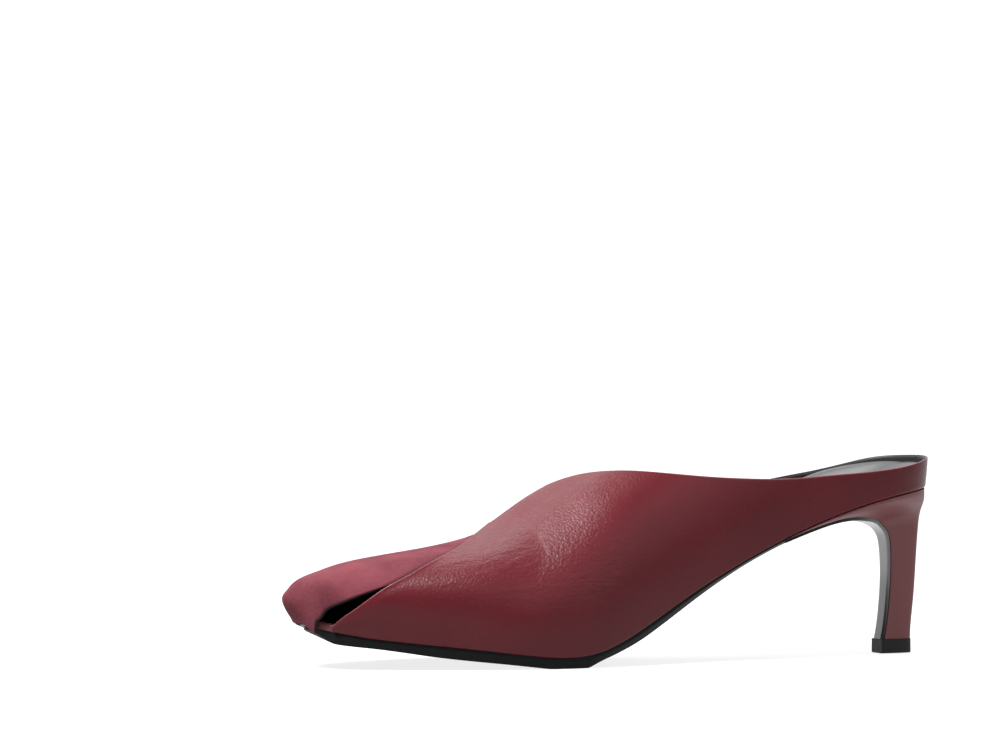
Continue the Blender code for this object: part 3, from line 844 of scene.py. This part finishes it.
def polished_sock(colours):
    f = Finish("polished_sock")
    grain = f.cells(1300.0)
    tone = f.noise(45.0, 3.0)
    colour = f.mix(tone.ramp(0.3, 0.7) * 0.5, rgba(colours.lining), rgba(colours.lining, 1.8))
    rough = 0.27 + tone * 0.08
    normal = f.bump(grain, 0.00003, 0.4)
    return f.coat(Base_Color=colour, Roughness=rough, Specular_IOR_Level=0.42, Normal=normal)


def sole_black(colours):
    """Painted edge, a duller tread, and a polished strip down the heel's breast."""
    f = Finish("sole_black")
    polished, tread = f.mask("polished"), f.mask("tread")
    fine = f.noise(900.0, 4.0, 0.6)
    scuff = f.noise(160.0, 4.0, 0.7, stretch=1.2)
    colour = f.mix(fine.ramp(0.4, 0.7) * 0.5, rgba(colours.sole), rgba(colours.sole, 1.7))
    colour = f.mix(tread * scuff.ramp(0.52, 0.7) * 0.35, colour, rgba(colours.sole, 5.0))
    rough = 0.42 + fine * 0.1 + tread * 0.18 - polished * 0.27
    return f.coat(
        Base_Color=colour,
        Roughness=rough,
        Specular_IOR_Level=0.08,
        Coat_Weight=polished,
        Coat_Roughness=0.12,
        Coat_IOR=1.9,
        Normal=f.bump(fine, 0.00005, 0.35),
    )


def tip_rubber(colours):
    f = Finish("tip_rubber")
    fine = f.noise(1400.0, 4.0, 0.65)
    colour = f.mix(fine.ramp(0.4, 0.7) * 0.6, rgba(colours.tip), rgba(colours.tip, 2.0))
    rough, normal = 0.42 + fine * 0.15, f.bump(fine, 0.00007, 0.5)
    return f.coat(Base_Color=colour, Roughness=rough, Specular_IOR_Level=0.16, Normal=normal)


def studio_white(colours):
    f = Finish("studio_white")
    return f.coat(
        Base_Color=rgba(colours.floor),
        Roughness=0.9,
        Specular_IOR_Level=0.1,
        Emission_Color=(1, 1, 1, 1),
        Emission_Strength=0.82,
    )


def length_property(name, description, default):
    return FloatProperty(name=name, description=description, default=default, unit="LENGTH")


class MuleSizes(bpy.types.PropertyGroup):
    """Sizes of the shoe, as they are in the part that it dresses."""

    length: length_property("Length", "Length of the last", 0.245)
    ball_width: length_property("Ball width", "Width at the ball", 0.076)
    seat_height: length_property("Seat height", "Height of the heel seat", 0.060)
    instep_height: length_property("Instep height", "Height of the instep over the sole", 0.061)
    wall: length_property("Wall", "Upper with its lining", 0.0018)
    hide: length_property("Hide", "Leather or suede alone", 0.0010)
    gap: length_property("Gap", "Air between pieces that meet", 0.0003)
    insole_thick: length_property("Insole", "Thickness of the insole", 0.0032)
    top_piece: length_property("Heel tip", "Thickness of the heel tip", 0.0048)


class MuleColours(bpy.types.PropertyGroup):
    """Colours of the shoe's finishes."""


def colour_property(name, description, default):
    kind = {"size": 3, "subtype": "COLOR", "min": 0, "max": 1}
    return FloatVectorProperty(name=name, description=description, default=default, **kind)


COLOURS = (
    ("leather", "Leather", "Smooth side and heel cover", (0.070, 0.0066, 0.0102)),
    ("leather_shade", "Leather shade", "Darker clouds of the leather", (0.054, 0.0050, 0.0078)),
    # The rubbed colour serves the rubbed places over the bend, and also the painted highlight along the
    # leather's turned edge.
    ("leather_worn", "Leather worn", "Turned edge and rubbed places", (0.24, 0.085, 0.095)),
    ("suede", "Suede", "Nap brushed up", (0.102, 0.0225, 0.0300)),
    ("suede_shade", "Suede shade", "Nap brushed down", (0.047, 0.0078, 0.0118)),
    ("suede_tip", "Suede tips", "Tips of the fibres", (0.19, 0.065, 0.080)),
    ("lining", "Lining", "Lining and sock", (0.006, 0.006, 0.007)),
    ("sole", "Sole", "Sole and its painted edge", (0.0034, 0.0041, 0.0038)),
    ("tip", "Heel tip", "Rubber of the heel tip", (0.008, 0.0088, 0.0084)),
    ("floor", "Floor", "Floor and backdrop", (0.15, 0.15, 0.15)),
)
for key, label, words, default in COLOURS:
    MuleColours.__annotations__[key] = colour_property(label, words, default)


class MulePiece:
    """What the operators share: the last at the scene's sizes, and the colours."""

    bl_options = {"REGISTER", "UNDO"}

    def made(self, context):
        return Last(context.scene.mule_sizes), context.scene.mule_sizes, context.scene.mule_colours


class MULE_OT_leather_side(MulePiece, bpy.types.Operator):
    """Smooth leather side, round the heel to the seam, with its black lining"""

    bl_idname = "mule.leather_side"
    bl_label = "Leather side"

    def execute(self, context):
        last, sizes, colours = self.made(context)
        rings, to_edge, _ = leather_rings(
            last, 0.0, sizes.hide, HIDE_NOSE, *LEATHER_GRID, relief=leather_relief
        )
        masks = {"to_edge": to_edge, "worn": bend_mask(last, rings), "lined": lined_mask(rings)}
        side = skin("leather_side", rings, masks)
        hand_over(side, smooth_leather(colours), "smooth_leather", "leather_panel")
        depth = sizes.hide + TOUCH
        rings = leather_rings(last, depth, sizes.wall - depth, LINING_NOSE, *LEATHER_LINING)[0]
        lining = skin("leather_side_lining", rings)
        hand_over(lining, black_lining(colours), "lining")
        return {"FINISHED"}


class MULE_OT_suede_side(MulePiece, bpy.types.Operator):
    """Suede side, over the ridge and round the toe, with its black lining"""

    bl_idname = "mule.suede_side"
    bl_label = "Suede side"

    def execute(self, context):
        last, sizes, colours = self.made(context)
        rings, to_edge, theta = suede_rings(
            last, 0.0, sizes.hide, HIDE_NOSE, *SUEDE_GRID, relief=suede_relief
        )
        # Mask of the painted shadow that the leather's lap casts on the suede.
        painted_lap_shadow = lap_shadow_mask(last, rings, theta)
        masks = {"to_edge": to_edge, "painted_lap_shadow": painted_lap_shadow, "lined": lined_mask(rings)}
        side = skin("suede_side", rings, masks)
        hand_over(side, brushed_suede(colours), "suede", "suede_panel")
        depth = sizes.hide + TOUCH
        rings = suede_rings(last, depth, sizes.wall - depth, LINING_NOSE, *SUEDE_LINING)[0]
        lining = skin("suede_side_lining", rings)
        hand_over(lining, black_lining(colours), "lining")
        return {"FINISHED"}


def insole_thickness(sizes, station, rim_distance):
    """Thickness of the insole: even in front, thicker and dished in the seat of the heel."""
    seat = SEAT_CENTRE + (SEAT_RIM - SEAT_CENTRE) * (1 - smooth(rim_distance, 0, SEAT_DISH))
    return seat + (sizes.insole_thick - seat) * smooth(station, 0.15, 0.33)


def insole_rings(last, sizes, inset, skirt, below, round_, walk_end):
    """Board or sock whose top lies below the insole's, down to the sole line or for a skirt's depth."""
    walk = walk_end * (1 - np.cos(np.linspace(0, 1, INSOLE_RINGS) * math.pi)) / 2
    outer = last.edge(walk, 1, np.full(INSOLE_RINGS, inset))
    inner = last.edge(walk, -1, np.full(INSOLE_RINGS, inset))
    ground = ((outer[:, 2] + inner[:, 2]) / 2)[:, None]
    width = (outer[:, 0] - inner[:, 0])[:, None]
    turn = np.linspace(0, 1, 7) * math.pi / 2
    step = np.minimum(round_, 0.4 * np.abs(width))
    left = inner[:, :1] + step * (1 - np.cos(turn))
    right = outer[:, :1] - step * (1 - np.cos(turn[::-1]))
    flat = np.linspace(0, 1, 20)
    middle = left[:, -1:] + (right[:, :1] - left[:, -1:]) * flat[1:-1]
    under = right[:, -1:] + (left[:, :1] - right[:, -1:]) * flat
    x = np.concatenate([left, middle, right, under], 1)
    y = inner[:, 1:2] + (outer - inner)[:, 1:2] * (x - inner[:, :1]) / np.maximum(width, 1e-9)
    sides = np.stack([x - inner[:, :1], outer[:, :1] - x, y[0, 0] - y])
    rim_distance = (np.maximum(sides, 0.01 * MM) ** -3.0).sum(0) ** (-1 / 3)
    station = last.station_at(walk)[:, None]
    thickness = insole_thickness(sizes, station, rim_distance)
    thickness += INNER_SEAT_RISE * smooth(-x, 4 * MM, 18 * MM) * (1 - smooth(station, 0.12, 0.22))
    fall = np.concatenate([1 - np.sin(turn), 0 * flat[1:-1], 1 - np.sin(turn[::-1])]) * round_
    depth = np.minimum(fall, 0.9 * (skirt or sizes.insole_thick)) + below
    top = ground + thickness[:, : len(depth)] - depth
    low = ground + (thickness[:, len(depth) :] - below - skirt if skirt else 0 * under)
    return np.stack([x, y, np.concatenate([top, low], 1)], -1)


class MULE_OT_insole(MulePiece, bpy.types.Operator):
    """Board wrapped in the upper's leather, with a polished sock on it"""

    bl_idname = "mule.insole"
    bl_label = "Insole and sock"

    def execute(self, context):
        last, sizes, colours = self.made(context)
        inset = sizes.wall + 2 * sizes.gap
        end = last.blunt_end(lambda walk: np.full(np.shape(walk), inset))
        board = skin("insole_board", insole_rings(last, sizes, inset, 0.0, 0.4 * MM, 1.4 * MM, end))
        hand_over(board, bpy.data.materials["smooth_leather"], "smooth_leather", "insole")
        rings = insole_rings(last, sizes, inset + 0.1 * MM, 0.38 * MM, 0.0, 0.3 * MM, last.walk_at(0.925))
        hand_over(skin("sock", rings), polished_sock(colours), "lining")
        return {"FINISHED"}


def heel_value(index, level):
    return spline(column(HEEL, 0), column(HEEL, index), level)


def breast_line(last, level):
    """Front line of the heel in side view, from the floor to the tip of its lip."""
    return np.stack([last.along(heel_value(3, level)), heel_value(4, level) * last.seat], -1)


def front_width(last, level, side):
    """Half width of the heel's front at a level."""
    plain = heel_value(5, level) * last.ball
    lip = last.half_width(side, last.walk_at(LIP_STATION)) - last.gap
    return plain + (lip * plain / (heel_value(5, 1.0) * last.ball) - plain) * heel_value(6, level)


def heel_ring(last, level, count):
    walk = last.walk_at(LIP_STATION) * (1 - np.linspace(0, 1, count))
    angle = np.linspace(0, 1, count) * math.pi / 2
    front = breast_line(last, level)
    back = np.array([last.along(heel_value(1, level)), heel_value(2, level) * last.seat])
    seat_back = last.along(heel_value(1, 1.0))
    seat_front = last.along(LIP_STATION)
    full = float(heel_value(6, level))
    sides = []
    for side in (1, -1):
        seat = last.edge(walk, side, np.full(count, last.gap))
        seat_width = last.half_width(side, last.walk_at(LIP_STATION)) - last.gap
        share = np.sin(angle) ** (2 / HEEL_CORNER)
        plain_x = heel_value(5, level) * last.ball * np.cos(angle) ** (2 / HEEL_CORNER)
        seat_x = seat[:, 0] * side * front_width(last, level, side) / seat_width
        seat_share = (seat[:, 1] - seat_front) / (seat_back - seat_front)
        share = share + (seat_share - share) * full
        x = plain_x + (seat_x - plain_x) * full
        y = front[0] + (back[0] - front[0]) * share
        z = front[1] + (back[1] - front[1]) * share
        low, high = last.sole_line(LIP_STATION), last.sole_line(heel_value(1, 1.0))
        straight = low + (high - low) * (y - seat_front) / (seat_back - seat_front)
        bow = last.sole_line(last.station_of(y)) - straight
        z = z + (bow - bow[0] * (1 - share)) * full
        sides.append(np.stack([side * x, y, z], -1))
    return np.concatenate([sides[0], sides[1][-2::-1]])


class MULE_OT_heel(MulePiece, bpy.types.Operator):
    """Slim heel covered in the upper's leather"""

    bl_idname = "mule.heel"
    bl_label = "Covered heel"

    def execute(self, context):
        last, _, _ = self.made(context)
        rings = [heel_ring(last, level, HEEL_SIDE) for level in np.linspace(0, 1, HEEL_LEVELS)]
        top = rings[-1].copy()
        top[:, 2] = last.sole_line(last.station_of(top[:, 1])) - last.gap
        rings = np.array([*rings, top])
        size = rings.shape[:2]
        height = np.linspace(0, 1, size[0])[:, None] * np.ones(size)
        masks = {"to_edge": 2 + 60 * height, "worn": np.zeros(size)}
        heel = skin("heel_cover", rings, masks, 50)
        hand_over(heel, bpy.data.materials["smooth_leather"], "heel_cover", "heel")
        return {"FINISHED"}


# Levels of the heel tip: height as a share of its thickness, and how far it stands out in millimetres.
TIP_LEVELS = (
    (0.0, -0.1),
    (0.02, 0.2),
    (0.09, 0.38),
    (0.25, 0.4),
    (0.6, 0.4),
    (0.94, 0.4),
    (0.98, 0.34),
    (1.0, 0.15),
)


class MULE_OT_heel_tip(MulePiece, bpy.types.Operator):
    """Black rubber tip under the heel"""

    bl_idname = "mule.heel_tip"
    bl_label = "Heel tip"

    def execute(self, context):
        last, sizes, colours = self.made(context)
        ring = heel_ring(last, 0.0, TIP_SIDE)
        front, back = ring[:, 1].min(), ring[:, 1].max()
        flap = FLAP_THICK + last.gap
        rings = []
        for height, grow in TIP_LEVELS:
            grow *= MM
            level = ring.copy()
            share = (ring[:, 1] - front) / (back - front)
            level[:, 0] *= 1 + grow / ring[:, 0].max()
            level[:, 1] = front - flap - 0.4 * grow + share * (back - front + flap + 0.9 * grow)
            level[:, 2] = height * (sizes.top_piece + last.gap - TOUCH)
            rings.append(level)
        tip = skin("heel_tip", np.array(rings), None, 45)
        hand_over(tip, tip_rubber(colours), "heel_tip", "top_piece")
        return {"FINISHED"}


def sole_inset(last, walk):
    return 0.6 * MM + 3.2 * MM * smooth(last.station_at(walk), 0.925, TIP)


def plate_ring(left, right, down, left_thick, right_thick, slope):
    """Section of the sole between its two top corners, with a vertical edge and a sloped bevel."""
    across = right - left
    width = np.linalg.norm(across)
    across = across / width
    slope = min(slope, 0.35 * width)
    points = []
    for start, sign, thick in ((left, 1.0, left_thick), (right, -1.0, right_thick)):
        drop = [0.0, 0.04, 0.10, 0.24, 0.28, 0.40, 0.65, 0.86, 0.95, 1.0]
        move = [0.0, EDGE_STEP, 0.0, 0.0, EDGE_STEP]
        move += [0.16 * slope, 0.55 * slope, 0.86 * slope, slope, slope + 0.25 * MM]
        points.append([start + across * sign * m + down * thick * d for d, m in zip(drop, move)])
    low_left, low_right = points[0][-1], points[1][-1]
    flat = [low_left + (low_right - low_left) * s for s in np.linspace(0, 1, 8)[1:-1]]
    top = [right + (left - right) * s for s in np.linspace(0, 1, 8)[1:-1]]
    return np.array(points[0] + flat + points[1][::-1] + top)


class MULE_OT_outsole(MulePiece, bpy.types.Operator):
    """Thin sole with a painted, bevelled edge, carried down the breast of the heel"""

    bl_idname = "mule.outsole"
    bl_label = "Outsole"

    def execute(self, context):
        last, sizes, colours = self.made(context)
        end = last.blunt_end(lambda walk: sole_inset(last, walk))
        back = last.walk_at(LIP_STATION + last.gap / last.length)
        walk = end - (end - back) * np.linspace(0, 1, SOLE_RINGS)
        station = last.station_at(walk)
        outer = last.edge(walk, 1, sole_inset(last, walk))
        inner = last.edge(walk, -1, sole_inset(last, walk))
        height = (outer[:, 2] + inner[:, 2]) / 2 - last.gap
        slope = np.gradient(height, last.along(station))
        thick = spline(column(SOLE_SECTION, 0), column(SOLE_SECTION, 1), station) * last.wall
        thinned = np.maximum(thick * (1 - INNER_THINNING * smooth(station, 0.875, 0.935)), 0.4 * last.wall)
        bevel = spline(column(SOLE_SECTION, 0), column(SOLE_SECTION, 2), station) * 2.6 * MM
        rise = last.gap - TOUCH
        rings, polish, tread = [], [], []
        for i in range(len(walk)):
            down = np.array([0, slope[i], -1.0]) / math.hypot(1, slope[i])
            left = np.array([inner[i, 0], inner[i, 1], height[i]]) - down * rise
            right = np.array([outer[i, 0], outer[i, 1], height[i]]) - down * rise
            ring = plate_ring(left, right, down, thinned[i] + rise, thick[i] + rise, bevel[i])
            ring[:, 2] = np.maximum(ring[:, 2], 0.0)
            rings.append(ring)
            polish.append(0.0)
        level = 1 - np.linspace(0, 1, BREAST_RINGS)
        line = breast_line(last, level)
        tangent = unit(np.gradient(line, axis=0))
        out = np.stack([-tangent[:, 1], tangent[:, 0]], -1)
        if out[-1, 0] > 0:
            out = -out
        for i in range(len(level)):
            widths = [front_width(last, level[i], side) - FLAP_INSET for side in (1, -1)]
            near = line[i] + out[i] * TOUCH
            away = np.array([0, *out[i]])
            if i == len(level) - 1:
                near[1] = sizes.top_piece + last.gap
                away = np.array([0, -1.0, 0])
            left = np.array([-widths[1], *near])
            right = np.array([widths[0], *near])
            thick_here = FLAP_THICK + last.gap - TOUCH
            rings.append(plate_ring(left, right, away, thick_here, thick_here, 0.25 * MM))
            polish.append(float(smooth(i, 6, 30)))
        rings = np.array(rings)
        size = rings.shape[:2]
        polish = np.array(polish)[:, None] * np.ones(size)
        tread = np.zeros(size)
        tread[:SOLE_RINGS, UNDERSIDE] = 1.0
        sole = skin("outsole", rings, {"polished": polish, "tread": tread}, 40)
        hand_over(sole, sole_black(colours), "sole", "outsole")
        return {"FINISHED"}


CAMERA_PLACE = (1.43474, -0.62187, 0.10280)
CAMERA_BACK = (0.92718, -0.37461, 0.00019)
CAMERA_LENS = 162.0


class MULE_OT_stage(MulePiece, bpy.types.Operator):
    """Pale floor, soft studio light and the camera"""

    bl_idname = "mule.stage"
    bl_label = "Stage"

    def execute(self, context):
        colours = context.scene.mule_colours
        scene = context.scene
        back = Vector(CAMERA_BACK).normalized()
        floor = bpy.data.meshes.new("floor")
        front, far, bend, top = 0.5, -1.6, 0.7, 3.0
        profile = [(front, 0.0), (far, 0.0)]
        profile += [
            (far - bend * math.sin(a), bend * (1 - math.cos(a))) for a in np.linspace(0, math.pi / 2, 24)[1:]
        ]
        profile += [(far - bend, top)]
        side = Vector((0, 0, 1)).cross(back).normalized()
        flat_back = Vector((back.x, back.y, 0)).normalized()
        points = []
        for run, height in profile:
            for reach in (-4.0, 4.0):
                points.append(flat_back * run + side * reach + Vector((0, 0, height)))
        faces = [(2 * i, 2 * i + 1, 2 * i + 3, 2 * i + 2) for i in range(len(profile) - 1)]
        floor.from_pydata([tuple(p) for p in points], [], faces)
        for polygon in floor.polygons:
            polygon.use_smooth = True
        sweep = bpy.data.objects.new("floor", floor)
        scene.collection.objects.link(sweep)
        floor.materials.append(studio_white(colours))

        world = bpy.data.worlds.new("studio")
        scene.world = world
        world.use_nodes = True
        world.node_tree.nodes["Background"].inputs["Color"].default_value = (1, 1, 1, 1)
        world.node_tree.nodes["Background"].inputs["Strength"].default_value = 0.08

        def softbox(name, place, target, size, power):
            lamp = bpy.data.lights.new(name, "AREA")
            lamp.shape = "RECTANGLE"
            lamp.size, lamp.size_y = size
            lamp.energy = power
            obj = bpy.data.objects.new(name, lamp)
            obj.location = place
            obj.rotation_mode = "QUATERNION"
            obj.rotation_quaternion = (Vector(target) - Vector(place)).to_track_quat("-Z", "Y")
            scene.collection.objects.link(obj)

        softbox("overhead", (0.12, -0.64, 1.12), (0, 0, 0.02), (0.8, 0.45), 60)
        softbox("fill", (1.1, 0.7, 0.85), (0, 0, 0.02), (1.6, 1.2), 10)
        softbox("backdrop_wash", (-1.2, 0.5, 1.9), (-2.2, 0.9, 0.4), (2.6, 1.2), 90)

        camera = bpy.data.cameras.new("camera")
        camera.lens = CAMERA_LENS
        camera.sensor_width = 36.0
        camera.clip_start, camera.clip_end = 0.05, 20
        view = bpy.data.objects.new("camera", camera)
        right = Vector((0, 0, 1)).cross(back).normalized()
        up = back.cross(right)
        view.matrix_world = Matrix.Translation(CAMERA_PLACE) @ Matrix((right, up, back)).transposed().to_4x4()
        scene.collection.objects.link(view)
        scene.camera = view
        scene.view_settings.view_transform = "Standard"
        return {"FINISHED"}


OPERATORS = (
    MULE_OT_leather_side,
    MULE_OT_suede_side,
    MULE_OT_insole,
    MULE_OT_heel,
    MULE_OT_heel_tip,
    MULE_OT_outsole,
    MULE_OT_stage,
)


class MULE_PT_sidebar(bpy.types.Panel):
    """Lists the pieces of the shoe, its sizes and its colours"""

    bl_idname = "MULE_PT_sidebar"
    bl_label = "Heeled mule"
    bl_space_type = "VIEW_3D"
    bl_region_type = "UI"
    bl_category = "Mule"

    def draw(self, context):
        for operator in OPERATORS:
            self.layout.operator(operator.bl_idname)
        for group in (context.scene.mule_sizes, context.scene.mule_colours):
            box = self.layout.box()
            for key in group.__annotations__:
                box.prop(group, key)


CLASSES = (MuleSizes, MuleColours, *OPERATORS, MULE_PT_sidebar)


def register():
    for item in CLASSES:
        bpy.utils.register_class(item)
    bpy.types.Scene.mule_sizes = PointerProperty(type=MuleSizes)
    bpy.types.Scene.mule_colours = PointerProperty(type=MuleColours)


def unregister():
    del bpy.types.Scene.mule_sizes
    del bpy.types.Scene.mule_colours
    for item in reversed(CLASSES):
        bpy.utils.unregister_class(item)


def main():
    register()
    for operator in OPERATORS:
        family, name = operator.bl_idname.split(".")
        getattr(getattr(bpy.ops, family), name)()
    bpy.context.view_layer.update()


if __name__ == "__main__":
    main()
